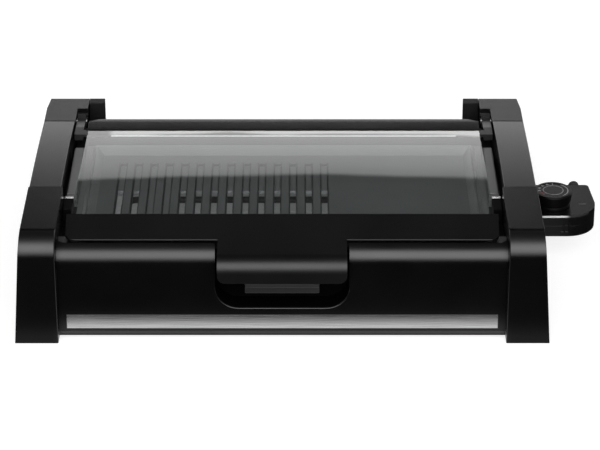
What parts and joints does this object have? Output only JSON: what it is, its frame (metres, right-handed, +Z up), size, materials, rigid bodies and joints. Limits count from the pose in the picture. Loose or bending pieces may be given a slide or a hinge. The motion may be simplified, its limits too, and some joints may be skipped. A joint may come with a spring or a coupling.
{
  "type": "electric indoor grill with lid",
  "caption": "Countertop electric grill with a hinged glass lid, a ribbed and slotted plate over a drip tray, and a plug-in temperature control with a turning knob.",
  "frame": {"origin": "bottom centre of the whole object's box, on the table, with the plug-in control seated and the lid closed", "axes": "+X to the right along the length, seen from the front, +Y to the back, +Z up"},
  "size_m": [0.591, 0.365, 0.117],
  "materials": {
    "body_plastic": "moulded, low gloss, black",
    "cover_plastic": "satin moulded, very dark grey",
    "inner_plastic": "matt moulded, black",
    "rail_grey": "satin moulded, grey",
    "trim_steel": "brushed along the length",
    "hardware_steel": "plain, zinc plated",
    "sheet_aluminium": "bright rolled sheet",
    "plate_coating": "die cast with a dark non-stick coating",
    "arm_steel": "black enamel",
    "rubber": "matt",
    "ceramic": null,
    "brass": "plain turned",
    "lid_glass": "clear toughened"
  },
  "bodies": {
    "base": {"left_leg": "body_plastic", "right_leg": "body_plastic", "left_foot_plate": "inner_plastic", "right_foot_plate": "inner_plastic", "rubber_feet": "rubber", "leg_screws": "hardware_steel", "left_handle_cover": "cover_plastic", "right_handle_cover": "cover_plastic", "left_hinge_cap": "cover_plastic", "right_hinge_cap": "cover_plastic", "hinge_pins": "hardware_steel", "front_panel": "body_plastic", "finger_pocket": "inner_plastic", "front_trim": "trim_steel", "rear_panel": "inner_plastic", "base_floor": "inner_plastic", "deck_frame": "body_plastic", "left_side_rail": "rail_grey", "right_side_rail": "rail_grey", "heat_shield": "sheet_aluminium", "drip_tray": "sheet_aluminium", "plate_supports": "hardware_steel", "grill_plate": "plate_coating", "heating_element": "hardware_steel", "element_clips": "hardware_steel", "terminal_pins": "brass", "terminal_bushes": "ceramic", "terminal_guard": "hardware_steel", "probe_socket": "hardware_steel"},
    "lid": {"lid_front_panel": "cover_plastic", "handle_liner": "inner_plastic", "lid_glass": "lid_glass", "glass_gaskets": "rubber", "lid_rear_bar": "cover_plastic", "left_hinge_arm": "arm_steel", "right_hinge_arm": "arm_steel", "lid_screws": "hardware_steel", "lid_bumpers": "rubber"},
    "control": {"control_top_shell": "body_plastic", "control_bottom_shell": "body_plastic", "control_trim": "trim_steel", "pointer_mark": "trim_steel", "thermostat_body": "ceramic", "contact_sleeves": "brass", "sensor_probe": "hardware_steel", "cord_gland": "rubber", "control_screws": "hardware_steel"},
    "knob": {"control_knob": "body_plastic", "dial_ring": "trim_steel", "knob_spindle": "brass"}
  },
  "joints": [
    {"name": "lid_hinge", "type": "hinge", "parent": "base", "child": "lid", "pos_m": [-0.0305, 0.1435, 0.097], "axis": [-1, 0, 0], "range_deg": [0, 98]},
    {"name": "control_pull", "type": "slide", "parent": "base", "child": "control", "axis": [1, 0, 0], "range_m": [0, 0.06]},
    {"name": "knob_turn", "type": "hinge", "parent": "control", "child": "knob", "pos_m": [0.2509, 0.0175, 0.073], "axis": [0, 0, 1], "range_deg": [0, 270]}
  ]
}
